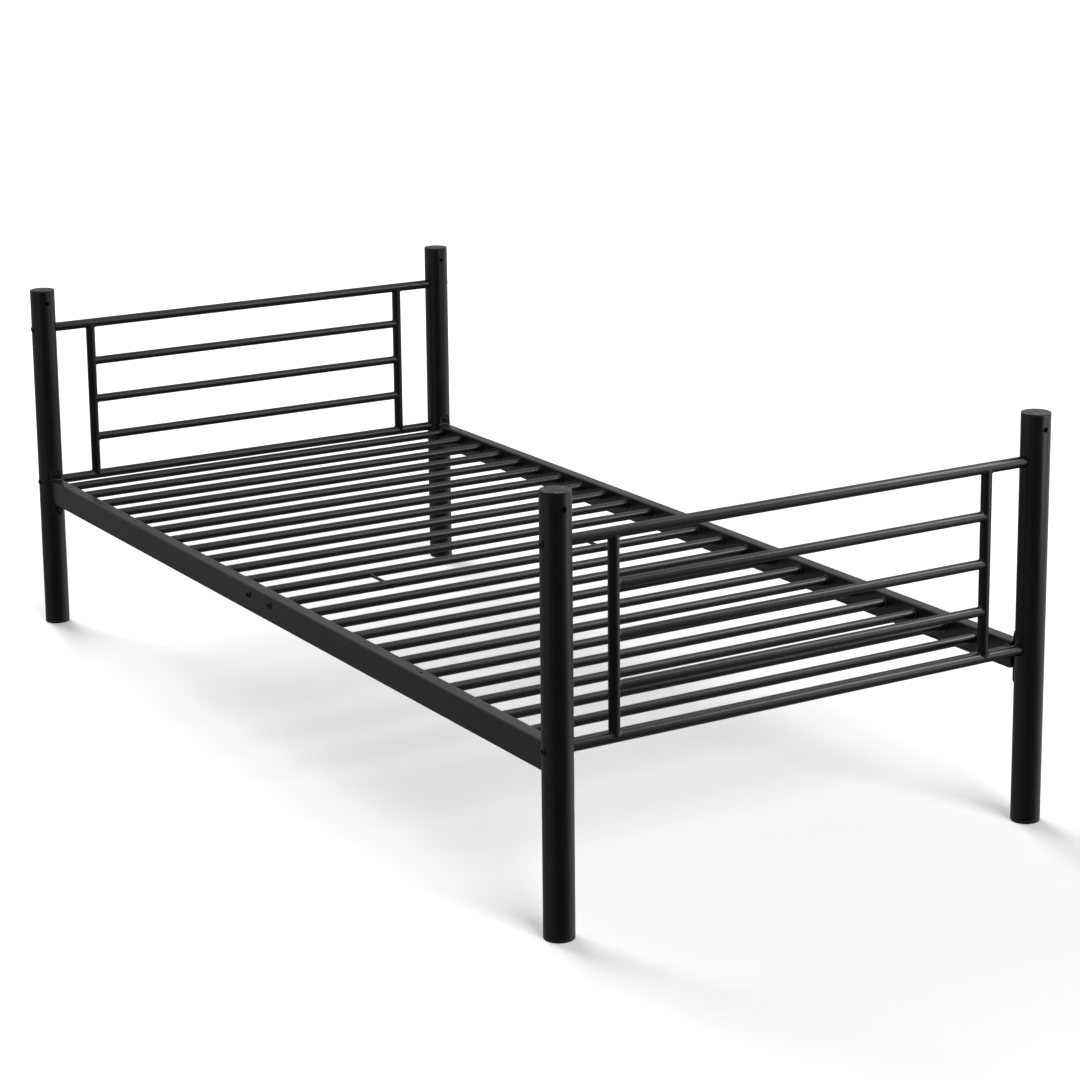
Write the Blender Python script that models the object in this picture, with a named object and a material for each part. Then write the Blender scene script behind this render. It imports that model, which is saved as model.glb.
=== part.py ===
"""Single metal bed frame for a 900 x 2000 mm mattress.

Axes: +X towards the foot end, +Y towards the right side as seen from the foot end,
+Z up.  The origin is on the floor, in the middle of the footprint.

Four round posts carry a welded tube ladder at each end.  Two box section side rails,
each in two halves joined over an inner sleeve, are bolted to the posts with end plates
and hold twenty-four round cross slats.
"""

import math

import bmesh
import bpy
from mathutils import Matrix

# ---------------------------------------------------------------- driving dimensions (metres)
GAP = 0.0003                 # clearance kept between neighbouring pieces

POST_PITCH_X = 2.051         # post centre to post centre, head to foot
POST_PITCH_Y = 0.951         # post centre to post centre, left to right
BED_HEIGHT = 0.725
POST_D = 0.051
POST_WALL = 0.002

CAP_T = 0.003                # flat cover disc over the top of a post
CAP_EDGE = 0.0012            # chamfer round its rim
CAP_PLUG_L = 0.014
GLIDE_T = 0.006              # plastic foot under a post
GLIDE_EDGE = 0.002
GLIDE_PLUG_L = 0.018

BAR_D = 0.019                # top bar, bottom bar and uprights of an end panel
BAR_WALL = 0.0015
MID_BAR_D = 0.017
MID_BAR_WALL = 0.0012
TOP_BAR_Z = 0.642
BOTTOM_BAR_Z = 0.311
UPRIGHT_Y = 0.371
MID_BAR_COUNT = 3
BAR_SOCKET_PLAY = 0.0008     # radial play of a bar in its socket hole in the post
BAR_INSERTION = 0.003        # how far a bar end reaches past the post's outermost line

RAIL_W = 0.025
RAIL_H = 0.050
RAIL_WALL = 0.002
RAIL_CORNER = 0.003
RAIL_END_RADIUS = 0.009      # lower corner of a rail, rounded off where it meets its end plate
RAIL_Y = 0.4730              # middle of the rail section
RAIL_Z = 0.292
RAIL_HOLE_D = 0.006          # small holes in the top face of the rails
RAIL_HOLE_X_BOTH = 0.590     # one in every half rail
RAIL_HOLE_X_HEAD = 0.920     # a second one in the head halves

PLATE_T = 0.003              # end plate between rail and post
PLATE_W = 0.025
PLATE_Z = 0.2895
PLATE_BOLT_OFFSET = 0.039    # bolt height above and below the plate's middle

SLEEVE_L = 0.150             # box sleeve inside the rails at the middle joint
SLEEVE_WALL = 0.002
SLEEVE_CORNER = 0.0025

SLAT_COUNT = 24
SLAT_PITCH = 0.0859
SLAT_D = 0.017
SLAT_WALL = 0.0012
SLAT_Z = 0.300
COLLAR_D = 0.022             # collar at each slat end, left off on the two middle slats
COLLAR_T = 0.003

TIE_D = 0.006                # tie bolts through the two middle slats
TIE_HOLE_D = 0.007
TIE_HEAD_D = 0.011
TIE_HEAD_T = 0.004
TIE_Y = 0.236

BOLT_D = 0.006
BOLT_HOLE_D = 0.007
BOLT_HEAD_D = 0.012
BOLT_HEAD_T = 0.0022         # low dome head
BOLT_GRIP = 0.012            # how far a panel bolt reaches into the end of its bar
TOP_PIN_HOLE_D = 0.009       # cross hole near the top of a post
TOP_PIN_HOLE_Z = 0.698

# Only these two of the eight bolts between bars and posts are pieces of their own.  They
# make the bed its true width, and the solids hold clearance holes for all the others.
PANEL_BOLTS = (("foot", "left"), ("foot", "right"))

# facets round the circle
POST_SIDES = 24
BAR_SIDES = 16
SLAT_SIDES = 16
SMALL_SIDES = 10

# ---------------------------------------------------------------- places that follow from them
END_X = {"head": -POST_PITCH_X / 2, "foot": POST_PITCH_X / 2}
SIDE_Y = {"left": -POST_PITCH_Y / 2, "right": POST_PITCH_Y / 2}
RAIL_INNER_Y = RAIL_Y - RAIL_W / 2
RAIL_TOP_Z = RAIL_Z + RAIL_H / 2
JOINT_BOLT_X = SLAT_PITCH / 2    # the bolts through rail and sleeve run into the middle slats
MIDDLE_SLATS = (SLAT_COUNT // 2, SLAT_COUNT // 2 + 1)
PLATE_OUTER_X = POST_PITCH_X / 2 - POST_D / 2 - GAP    # face of the end plate towards the post
PLATE_INNER_X = PLATE_OUTER_X - PLATE_T
SADDLE_D = BAR_D + 2.2 * GAP                           # cut in a bar end that meets another bar


def sign(value):
    return 1.0 if value > 0 else -1.0


def clear_scene():
    for old in list(bpy.data.objects):
        bpy.data.objects.remove(old, do_unlink=True)


def make_material(name, colour, roughness, metallic):
    material = bpy.data.materials.new(name)
    material.use_nodes = True
    shader = material.node_tree.nodes["Principled BSDF"]
    shader.inputs["Base Color"].default_value = (*colour, 1.0)
    shader.inputs["Roughness"].default_value = roughness
    shader.inputs["Metallic"].default_value = metallic
    material.diffuse_color = (*colour, 1.0)
    return material


# ---------------------------------------------------------------- mesh makers
def lathe(profile, sides):
    """Closed outline of (radius, height) points turned round Z.

    Points on the axis are allowed at the two ends of the outline, which then stays open there.
    """
    bm = bmesh.new()
    verts = [bm.verts.new((radius, 0.0, height)) for radius, height in profile]
    edges = [bm.edges.new(pair) for pair in zip(verts, verts[1:])]
    if profile[0][0] > 0 or profile[-1][0] > 0:
        edges.append(bm.edges.new((verts[-1], verts[0])))
    bmesh.ops.spin(bm, geom=verts + edges, cent=(0, 0, 0), axis=(0, 0, 1),
                   angle=2 * math.pi, steps=sides, use_merge=True, use_duplicate=False)
    bmesh.ops.remove_doubles(bm, verts=bm.verts, dist=1e-6)
    bmesh.ops.recalc_face_normals(bm, faces=bm.faces)
    return bm


def tube(length, outer_d, wall, sides):
    """Open-ended round tube standing on the origin."""
    outer = outer_d / 2
    inner = outer - wall
    return lathe([(inner, 0), (outer, 0), (outer, length), (inner, length)], sides)


def rod(length, diameter, sides):
    """Solid round bar centred on the origin, along Z."""
    bm = bmesh.new()
    bmesh.ops.create_cone(bm, cap_ends=True, segments=sides, radius1=diameter / 2,
                          radius2=diameter / 2, depth=length)
    return bm


def extrude_outline(points, distance):
    """Flat outline raised along its own local Z from the origin."""
    bm = bmesh.new()
    face = bm.faces.new([bm.verts.new((x, y, 0.0)) for x, y in points])
    grown = bmesh.ops.extrude_face_region(bm, geom=[face])["geom"]
    moved = [item for item in grown if isinstance(item, bmesh.types.BMVert)]
    bmesh.ops.translate(bm, verts=moved, vec=(0, 0, distance))
    bmesh.ops.recalc_face_normals(bm, faces=bm.faces)
    return bm


def rounded_rectangle(width, height, radius, steps):
    """Corner-rounded outline in the YZ plane, anticlockwise."""
    points = []
    corners = ((1, 1, 0), (-1, 1, 90), (-1, -1, 180), (1, -1, 270))
    for side_y, side_z, start in corners:
        centre_y = side_y * (width / 2 - radius)
        centre_z = side_z * (height / 2 - radius)
        for step in range(steps + 1):
            angle = math.radians(start + 90 * step / steps)
            points.append((centre_y + radius * math.cos(angle),
                           centre_z + radius * math.sin(angle)))
    return points


def box_section(length, width, height, wall, corner, steps=2):
    """Hollow box section along +X from the origin, open at both ends."""
    bm = bmesh.new()
    loops = []
    for inset in (0.0, wall):
        outline = rounded_rectangle(width - 2 * inset, height - 2 * inset, corner - inset, steps)
        verts = [bm.verts.new((0.0, y, z)) for y, z in outline]
        loops += [bm.edges.new(pair) for pair in zip(verts, verts[1:] + verts[:1])]
    ring = bmesh.ops.bridge_loops(bm, edges=loops)["faces"]
    grown = bmesh.ops.extrude_face_region(bm, geom=ring)["geom"]
    moved = [item for item in grown if isinstance(item, bmesh.types.BMVert)]
    bmesh.ops.translate(bm, verts=moved, vec=(length, 0, 0))
    bmesh.ops.recalc_face_normals(bm, faces=bm.faces)
    return bm


def obround_plate(thickness, width, half_pitch, steps=8):
    """Plate with full round ends, long way along local Y."""
    radius = width / 2
    outline = []
    for middle, start in ((half_pitch, 0), (-half_pitch, 180)):
        for step in range(steps + 1):
            angle = math.radians(start + 180 * step / steps)
            outline.append((radius * math.cos(angle), middle + radius * math.sin(angle)))
    return extrude_outline(outline, thickness)


def corner_waste(radius, width, margin=0.004, steps=4):
    """What a rounded outer corner takes away: the corner points to local +X, -Y."""
    arc = []
    for step in range(steps + 1):
        angle = math.radians(-90 + 90 * step / steps)
        arc.append((radius * (math.cos(angle) - 1), radius * (math.sin(angle) + 1)))
    outside = [(margin, radius), (margin, -margin), (-radius, -margin)]
    return extrude_outline(arc + outside, width)


# ---------------------------------------------------------------- objects
ALONG_X = Matrix.Rotation(math.radians(90), 4, "Y")
ALONG_Y = Matrix.Rotation(math.radians(-90), 4, "X")
FACING_X = Matrix(((0, 0, 1, 0), (1, 0, 0, 0), (0, 1, 0, 0), (0, 0, 0, 1)))


def add_object(name, bm, material, location, turn=None):
    mesh = bpy.data.meshes.new(name)
    bm.to_mesh(mesh)
    bm.free()
    return place_mesh(name, mesh, material, location, turn)


def place_mesh(name, mesh, material, location, turn=None):
    obj = bpy.data.objects.new(name, mesh)
    if material is not None and not mesh.materials:
        mesh.materials.append(material)
    mesh.shade_smooth()
    mesh.set_sharp_from_angle(angle=math.radians(35))
    bpy.context.scene.collection.objects.link(obj)
    if turn is not None:
        obj.rotation_euler = turn.to_euler()
    obj.location = location
    obj.parent = frame_origin
    return obj


def rod_cutter(diameter, length, centre, turn=None, sides=SMALL_SIDES):
    cutter = add_object("cutter", rod(length, diameter, sides), None, centre, turn)
    cutter.hide_render = True
    cutter.display_type = "WIRE"
    return cutter


def combine(obj, others, operation):
    """Cut the other objects from this one, or join them on to it, and keep the result."""
    for other in others:
        modifier = obj.modifiers.new("combine", "BOOLEAN")
        modifier.operation = operation
        modifier.solver = "EXACT"
        modifier.object = other
    bpy.context.view_layer.update()
    depsgraph = bpy.context.evaluated_depsgraph_get()
    result = bpy.data.meshes.new_from_object(obj.evaluated_get(depsgraph))
    obj.modifiers.clear()
    obj.data = result
    result.name = obj.name
    bm = bmesh.new()
    bm.from_mesh(result)
    bmesh.ops.remove_doubles(bm, verts=bm.verts, dist=1e-6)
    bmesh.ops.dissolve_degenerate(bm, edges=bm.edges, dist=1e-6)
    bm.to_mesh(result)
    bm.free()
    for other in others:
        bpy.data.objects.remove(other, do_unlink=True)


# ---------------------------------------------------------------- posts
def add_post(end, side):
    """Round tube with socket holes for the bars, bolt holes and a cross hole near the top."""
    x, y = END_X[end], SIDE_Y[side]
    to_rail = -sign(x)       # direction from the post towards its rail, along X
    to_panel = -sign(y)      # direction from the post towards its panel, along Y
    bottom = GLIDE_T + GAP
    length = BED_HEIGHT - CAP_T - GAP - bottom
    post = add_object(f"post_{end}_{side}", tube(length, POST_D, POST_WALL, POST_SIDES),
                      steel, (x, y, bottom))
    cutters = [rod_cutter(TOP_PIN_HOLE_D, 2 * POST_D, (x, y, TOP_PIN_HOLE_Z), ALONG_X)]
    for z in (PLATE_Z - PLATE_BOLT_OFFSET, PLATE_Z + PLATE_BOLT_OFFSET):
        cutters.append(rod_cutter(BOLT_HOLE_D, POST_D / 2, (x + to_rail * POST_D / 2, y, z),
                                  ALONG_X))
    for z in (BOTTOM_BAR_Z, TOP_BAR_Z):
        cutters.append(rod_cutter(BAR_D + 2 * BAR_SOCKET_PLAY, POST_D / 2,
                                  (x, y + to_panel * POST_D / 2, z), ALONG_Y, sides=BAR_SIDES))
        cutters.append(rod_cutter(BOLT_HOLE_D, POST_D / 2, (x, y - to_panel * POST_D / 2, z),
                                  ALONG_Y))
    combine(post, cutters, "DIFFERENCE")


def post_cap_mesh():
    """Cover disc with a chamfered rim and a short plug below it; its top is at height zero."""
    rim = POST_D / 2
    plug = rim - POST_WALL - GAP
    return lathe([(0, 0), (rim - CAP_EDGE, 0), (rim, -CAP_EDGE), (rim, -CAP_T),
                  (plug, -CAP_T), (plug, -CAP_T - CAP_PLUG_L), (0, -CAP_T - CAP_PLUG_L)],
                 POST_SIDES)


def foot_glide_mesh():
    """Foot disc with a rounded lower edge and a plug into the post; its sole is at height zero."""
    rim = POST_D / 2
    plug = rim - POST_WALL - GAP
    top = GLIDE_T + GLIDE_PLUG_L
    return lathe([(0, 0), (rim - GLIDE_EDGE, 0), (rim - GLIDE_EDGE * 0.3, GLIDE_EDGE * 0.3),
                  (rim, GLIDE_EDGE), (rim, GLIDE_T), (plug, GLIDE_T), (plug, top), (0, top)],
                 POST_SIDES)


# ---------------------------------------------------------------- end panels
def add_end_panel(end):
    """Ladder of round tubes between the two posts of one end."""
    x = END_X[end]
    reach = POST_PITCH_Y / 2 - POST_D / 2 + BAR_INSERTION
    for label, z in (("top", TOP_BAR_Z), ("bottom", BOTTOM_BAR_Z)):
        add_object(f"{end}_{label}_bar", tube(2 * reach, BAR_D, BAR_WALL, BAR_SIDES),
                   steel, (x, -reach, z), ALONG_Y)
    for side, y in (("left", -UPRIGHT_Y), ("right", UPRIGHT_Y)):
        upright = add_object(f"{end}_upright_{side}",
                             tube(TOP_BAR_Z - BOTTOM_BAR_Z, BAR_D, BAR_WALL, BAR_SIDES),
                             steel, (x, y, BOTTOM_BAR_Z))
        saddles = [rod_cutter(SADDLE_D, 2 * BAR_D, (x, y, z), ALONG_Y, sides=BAR_SIDES)
                   for z in (BOTTOM_BAR_Z, TOP_BAR_Z)]
        combine(upright, saddles, "DIFFERENCE")
    step = (TOP_BAR_Z - BOTTOM_BAR_Z) / (MID_BAR_COUNT + 1)
    for number in range(1, MID_BAR_COUNT + 1):
        z = BOTTOM_BAR_Z + number * step
        bar = add_object(f"{end}_mid_bar_{number}",
                         tube(2 * UPRIGHT_Y, MID_BAR_D, MID_BAR_WALL, BAR_SIDES),
                         steel, (x, -UPRIGHT_Y, z), ALONG_Y)
        saddles = [rod_cutter(SADDLE_D, 2 * BAR_D, (x, y, z), sides=BAR_SIDES)
                   for y in (-UPRIGHT_Y, UPRIGHT_Y)]
        combine(bar, saddles, "DIFFERENCE")


def add_panel_bolt(end, side):
    """Dome head bolt through a post into the bottom bar of its panel, along Y."""
    shank = BOLT_D / 2
    rim = BOLT_HEAD_D / 2
    length = POST_D - BAR_INSERTION + BOLT_GRIP
    profile = [(0, BOLT_HEAD_T), (0.5 * rim, 0.85 * BOLT_HEAD_T), (rim, 0.3 * BOLT_HEAD_T),
               (rim, 0), (shank, 0), (shank, -length), (0, -length)]
    outward = sign(SIDE_Y[side])
    add_object(f"panel_bolt_{end}_{side}", lathe(profile, SMALL_SIDES), steel,
               (END_X[end], SIDE_Y[side] + outward * (POST_D / 2 + GAP), BOTTOM_BAR_Z),
               Matrix.Rotation(math.radians(-90 * outward), 4, "X"))


# ---------------------------------------------------------------- side rails
def rail_corner_cutter(outward, y):
    """Rounds off the lower corner of a rail at its end plate."""
    width = 2 * RAIL_W
    bm = corner_waste(RAIL_END_RADIUS, width)
    if outward < 0:
        bmesh.ops.scale(bm, verts=bm.verts, vec=(-1, 1, 1))
        bmesh.ops.reverse_faces(bm, faces=bm.faces)
    bmesh.ops.rotate(bm, verts=bm.verts, matrix=Matrix.Rotation(math.radians(90), 3, "X"))
    cutter = add_object("cutter", bm, None,
                        (outward * PLATE_INNER_X, y + width / 2, RAIL_Z - RAIL_H / 2))
    cutter.hide_render = True
    cutter.display_type = "WIRE"
    return cutter


def add_half_rail(end, side):
    """Box section from the middle of the bed to the end plate that is welded to it."""
    outward = sign(END_X[end])
    y = sign(SIDE_Y[side]) * RAIL_Y
    weld_in = PLATE_T / 2    # the section runs half way into the plate, so the two fuse
    length = PLATE_INNER_X + weld_in - GAP / 2
    start = GAP / 2 if outward > 0 else -GAP / 2 - length
    rail = add_object(f"side_rail_{end}_{side}",
                      box_section(length, RAIL_W, RAIL_H, RAIL_WALL, RAIL_CORNER),
                      steel, (start, y, RAIL_Z))
    combine(rail, [rail_corner_cutter(outward, y)], "DIFFERENCE")
    plate_start = PLATE_INNER_X if outward > 0 else -PLATE_OUTER_X
    plate = add_object("plate", obround_plate(PLATE_T, PLATE_W, PLATE_BOLT_OFFSET),
                       None, (plate_start, SIDE_Y[side], PLATE_Z), FACING_X)
    combine(rail, [plate], "UNION")
    cutters = [rod_cutter(BOLT_HOLE_D, 3 * PLATE_T,
                          (outward * (PLATE_INNER_X + PLATE_T / 2), SIDE_Y[side], z), ALONG_X)
               for z in (PLATE_Z - PLATE_BOLT_OFFSET, PLATE_Z + PLATE_BOLT_OFFSET)]
    cutters.append(rod_cutter(BOLT_HOLE_D, 2 * RAIL_W,
                              (outward * JOINT_BOLT_X, y, SLAT_Z), ALONG_Y))
    small_holes = [RAIL_HOLE_X_BOTH]
    if end == "head":
        small_holes.append(RAIL_HOLE_X_HEAD)
    for x in small_holes:
        cutters.append(rod_cutter(RAIL_HOLE_D, 4 * RAIL_WALL, (outward * x, y, RAIL_TOP_Z)))
    combine(rail, cutters, "DIFFERENCE")


def add_rail_sleeve(side):
    """Short box section inside the two half rails, across their joint."""
    y = sign(SIDE_Y[side]) * RAIL_Y
    inset = 2 * (RAIL_WALL + GAP)
    sleeve = add_object(f"rail_sleeve_{side}",
                        box_section(SLEEVE_L, RAIL_W - inset, RAIL_H - inset, SLEEVE_WALL,
                                    SLEEVE_CORNER),
                        bare_steel, (-SLEEVE_L / 2, y, RAIL_Z))
    cutters = [rod_cutter(BOLT_HOLE_D, 2 * RAIL_W, (x, y, SLAT_Z), ALONG_Y)
               for x in (-JOINT_BOLT_X, JOINT_BOLT_X)]
    combine(sleeve, cutters, "DIFFERENCE")


# ---------------------------------------------------------------- slats and ties
def slat_mesh(name, with_collars):
    """Round tube across the bed, centred on the origin, along Z."""
    half = RAIL_INNER_Y - GAP
    bore = SLAT_D / 2 - SLAT_WALL
    body = SLAT_D / 2
    collar = COLLAR_D / 2
    outside = [(body, -half), (body, half)]
    if with_collars:
        outside = [(collar, -half), (collar, -half + COLLAR_T), (body, -half + COLLAR_T),
                   (body, half - COLLAR_T), (collar, half - COLLAR_T), (collar, half)]
    bm = lathe([(bore, -half), *outside, (bore, half)], SLAT_SIDES)
    mesh = bpy.data.meshes.new(name)
    bm.to_mesh(mesh)
    bm.free()
    return mesh


def slat_x(number):
    """Position of a slat along the bed, counted from the head end from 1."""
    return (number - (SLAT_COUNT + 1) / 2) * SLAT_PITCH


def add_slats():
    """Equal slats, but the two in the middle have plain ends and holes for the tie bolts."""
    shared = slat_mesh("slat", with_collars=True)
    for number in range(1, SLAT_COUNT + 1):
        name = f"slat_{number:02d}"
        place = (slat_x(number), 0, SLAT_Z)
        if number not in MIDDLE_SLATS:
            place_mesh(name, shared, steel, place, ALONG_Y)
            continue
        slat = place_mesh(name, slat_mesh(name, with_collars=False), steel, place, ALONG_Y)
        combine(slat, [rod_cutter(TIE_HOLE_D, 2 * SLAT_D, (slat_x(number), y, SLAT_Z), ALONG_X)
                       for y in (-TIE_Y, TIE_Y)], "DIFFERENCE")


def add_slat_tie(side):
    """Bolt through the two middle slats, with its head and its nut as round discs."""
    first, last = (slat_x(number) for number in MIDDLE_SLATS)
    clamped = last - first + SLAT_D + 2 * GAP
    thin = TIE_D / 2
    thick = TIE_HEAD_D / 2
    profile = [(0, -TIE_HEAD_T), (thick, -TIE_HEAD_T), (thick, 0), (thin, 0),
               (thin, clamped), (thick, clamped), (thick, clamped + TIE_HEAD_T),
               (0, clamped + TIE_HEAD_T)]
    add_object(f"slat_tie_{side}", lathe(profile, SMALL_SIDES), steel,
               (first - SLAT_D / 2 - GAP, sign(SIDE_Y[side]) * TIE_Y, SLAT_Z), ALONG_X)


# ---------------------------------------------------------------- the bed
clear_scene()
frame_origin = bpy.data.objects.new("frame_origin", None)
bpy.context.scene.collection.objects.link(frame_origin)

steel = make_material("black_powder_coat", (0.018, 0.018, 0.019), 0.38, 0.0)
bare_steel = make_material("zinc_plated_steel", (0.55, 0.56, 0.58), 0.35, 1.0)
plastic = make_material("black_plastic", (0.022, 0.022, 0.023), 0.55, 0.0)

for end_name in ("head", "foot"):
    for side_name in ("left", "right"):
        add_post(end_name, side_name)
        corner_xy = (END_X[end_name], SIDE_Y[side_name])
        add_object(f"post_cap_{end_name}_{side_name}", post_cap_mesh(), plastic,
                   (*corner_xy, BED_HEIGHT))
        add_object(f"foot_glide_{end_name}_{side_name}", foot_glide_mesh(), plastic,
                   (*corner_xy, 0))
        add_half_rail(end_name, side_name)
    add_end_panel(end_name)

for end_name, side_name in PANEL_BOLTS:
    add_panel_bolt(end_name, side_name)

add_slats()
for side_name in ("left", "right"):
    add_rail_sleeve(side_name)
    add_slat_tie(side_name)
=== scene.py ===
"""Looks of the single metal bed frame: black powder-coated steel tube, welded and bolted.

Lengths are in metres, in the frame's own axes: +X to the foot end, +Y to the right side,
+Z up.  Every piece takes its place and its main sizes from the CAD node it stands for.
"""

import math

import bmesh
import bpy
from mathutils import Matrix, Vector, noise


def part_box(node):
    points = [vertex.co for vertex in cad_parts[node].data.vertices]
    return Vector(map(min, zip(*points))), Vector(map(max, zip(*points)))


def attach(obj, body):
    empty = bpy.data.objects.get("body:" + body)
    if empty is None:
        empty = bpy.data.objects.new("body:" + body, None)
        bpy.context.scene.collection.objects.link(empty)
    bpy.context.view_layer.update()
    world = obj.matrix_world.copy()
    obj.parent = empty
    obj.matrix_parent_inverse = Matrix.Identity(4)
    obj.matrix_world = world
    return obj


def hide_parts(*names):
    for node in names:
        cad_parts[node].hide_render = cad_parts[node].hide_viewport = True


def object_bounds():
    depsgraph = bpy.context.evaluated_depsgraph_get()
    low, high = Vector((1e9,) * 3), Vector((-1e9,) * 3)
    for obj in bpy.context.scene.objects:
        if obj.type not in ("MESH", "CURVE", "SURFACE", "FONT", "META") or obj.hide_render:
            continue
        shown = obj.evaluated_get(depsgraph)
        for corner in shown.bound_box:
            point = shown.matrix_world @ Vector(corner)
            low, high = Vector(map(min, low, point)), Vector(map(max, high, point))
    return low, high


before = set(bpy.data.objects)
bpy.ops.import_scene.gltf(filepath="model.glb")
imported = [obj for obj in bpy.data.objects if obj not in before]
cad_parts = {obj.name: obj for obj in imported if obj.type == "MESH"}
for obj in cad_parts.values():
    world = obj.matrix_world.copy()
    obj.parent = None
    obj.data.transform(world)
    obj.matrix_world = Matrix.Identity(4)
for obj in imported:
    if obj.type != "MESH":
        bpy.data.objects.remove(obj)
cad_low, cad_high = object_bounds()

# ---------------------------------------------------------------- sizes the nodes don't give
GAP = 0.0003                 # clearance between neighbouring CAD pieces
POST_WALL = 0.002
BAR_WALL = 0.0015
SLAT_WALL = 0.0012
RAIL_WALL = 0.002
RAIL_CORNER = 0.003
RAIL_END_RADIUS = 0.009      # lower corner of a rail beside its end plate
OVERCUT = 0.004              # how far that corner's cutter reaches past the rail
PLATE_T = 0.003
PLATE_W = 0.025
PLATE_EDGE = 0.0006
SOCKET_PLAY = 0.0008         # radial play of a bar in its hole in the post
TOP_PIN_HOLE_D = 0.009
TOP_PIN_HOLE_DROP = 0.027    # below the top of the bed
RAIL_HOLE_D = 0.006
RAIL_HOLE_X = {"head": (0.590, 0.920), "foot": (0.590,)}
HOLE_MARGIN = 0.016          # rows of points this far above and below a post's holes
CAP_EDGE = 0.0013            # rounding of the rims of the caps, feet, collars and nuts
FOOT_EDGE = 0.0022
COLLAR_EDGE = 0.0020
TIE_HEAD_EDGE = 0.0008
COLLAR_T = 0.003
WELD_LEG = 0.0026            # bar to bar
PLATE_WELD_LEG = 0.0018      # rail to end plate
SLAT_WELD_LEG = 0.0016       # plain slat end to rail
WELD_STEP = 0.0006           # length of one piece of a rail's weld
SHANK_R = 0.003              # of every bolt and tie
BOLT_HEAD_D = 0.012
PLATE_BOLT_HEAD_T = 0.0045
JOINT_BOLT_HEAD_D = 0.014
JOINT_BOLT_HEAD_T = 0.0034
JOINT_BOLT_REACH = 0.012     # how far a joint bolt runs into its slat

SHARP_ANGLE = math.radians(38)   # edges that bend more than this stay crisp
SAME_POINT = 1e-7
POST_SIDES = 96
BAR_SIDES = 48
SLAT_SIDES = 40
BOLT_SIDES = 40

ENDS = ("head", "foot")
SIDES = ("left", "right")


def middle(node):
    low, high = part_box(node)
    return (low + high) / 2


def size(node):
    low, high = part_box(node)
    return high - low


def sign(value):
    return 1.0 if value > 0 else -1.0


# ---------------------------------------------------------------- materials
def new_material(name, colour):
    material = bpy.data.materials.new(name)
    material.use_nodes = True
    material.diffuse_color = (*colour, 1.0)
    return material, material.node_tree, material.node_tree.nodes["Principled BSDF"]


def add_noise(tree, scale, detail, roughness=0.5, stretch=None):
    """Noise over the object's own coordinates, in metres."""
    place = tree.nodes.new("ShaderNodeTexCoord")
    texture = tree.nodes.new("ShaderNodeTexNoise")
    texture.inputs["Scale"].default_value = scale
    texture.inputs["Detail"].default_value = detail
    texture.inputs["Roughness"].default_value = roughness
    source = place.outputs["Object"]
    if stretch is not None:
        mapping = tree.nodes.new("ShaderNodeMapping")
        mapping.inputs["Scale"].default_value = stretch
        tree.links.new(source, mapping.inputs["Vector"])
        source = mapping.outputs["Vector"]
    tree.links.new(source, texture.inputs["Vector"])
    return texture.outputs["Fac"]


def add_range(tree, value, from_low, from_high, to_low, to_high):
    """Maps a value from one range to another, held to the ends."""
    node = tree.nodes.new("ShaderNodeMapRange")
    for socket, number in zip(("From Min", "From Max", "To Min", "To Max"),
                              (from_low, from_high, to_low, to_high)):
        node.inputs[socket].default_value = number
    tree.links.new(value, node.inputs["Value"])
    return node.outputs["Result"]


def add_mix(tree, factor, first, second):
    """Blend of two colours; each is a colour or a node's output."""
    node = tree.nodes.new("ShaderNodeMix")
    node.data_type = "RGBA"
    tree.links.new(factor, node.inputs["Factor"])
    for socket, colour in zip((node.inputs[6], node.inputs[7]), (first, second)):
        if isinstance(colour, tuple):
            socket.default_value = (*colour, 1.0)
        else:
            tree.links.new(colour, socket)
    return node.outputs[2]


def add_math(tree, operation, first, second):
    node = tree.nodes.new("ShaderNodeMath")
    node.operation = operation
    for socket, value in zip(node.inputs, (first, second)):
        if isinstance(value, (int, float)):
            socket.default_value = value
        else:
            tree.links.new(value, socket)
    return node.outputs[0]


def add_bump(tree, shader, height, strength, distance, below=None):
    node = tree.nodes.new("ShaderNodeBump")
    node.inputs["Strength"].default_value = strength
    node.inputs["Distance"].default_value = distance
    tree.links.new(height, node.inputs["Height"])
    if below is not None:
        tree.links.new(below, node.inputs["Normal"])
    tree.links.new(node.outputs["Normal"], shader.inputs["Normal"])
    return node.outputs["Normal"]


def add_upward_specks(tree, most):
    """Speckled factor, only on what faces up: dust on the coat; on the plastic, dust together with
    painted light on the tops.
    """
    facing = tree.nodes.new("ShaderNodeNewGeometry")
    split = tree.nodes.new("ShaderNodeSeparateXYZ")
    tree.links.new(facing.outputs["Normal"], split.inputs[0])
    upward = add_range(tree, split.outputs["Z"], 0.55, 1.0, 0.0, 1.0)
    specks = add_range(tree, add_noise(tree, 160.0, 6.0, 0.75), 0.48, 0.72, 0.0, most)
    return add_math(tree, "MULTIPLY", upward, specks)


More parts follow.
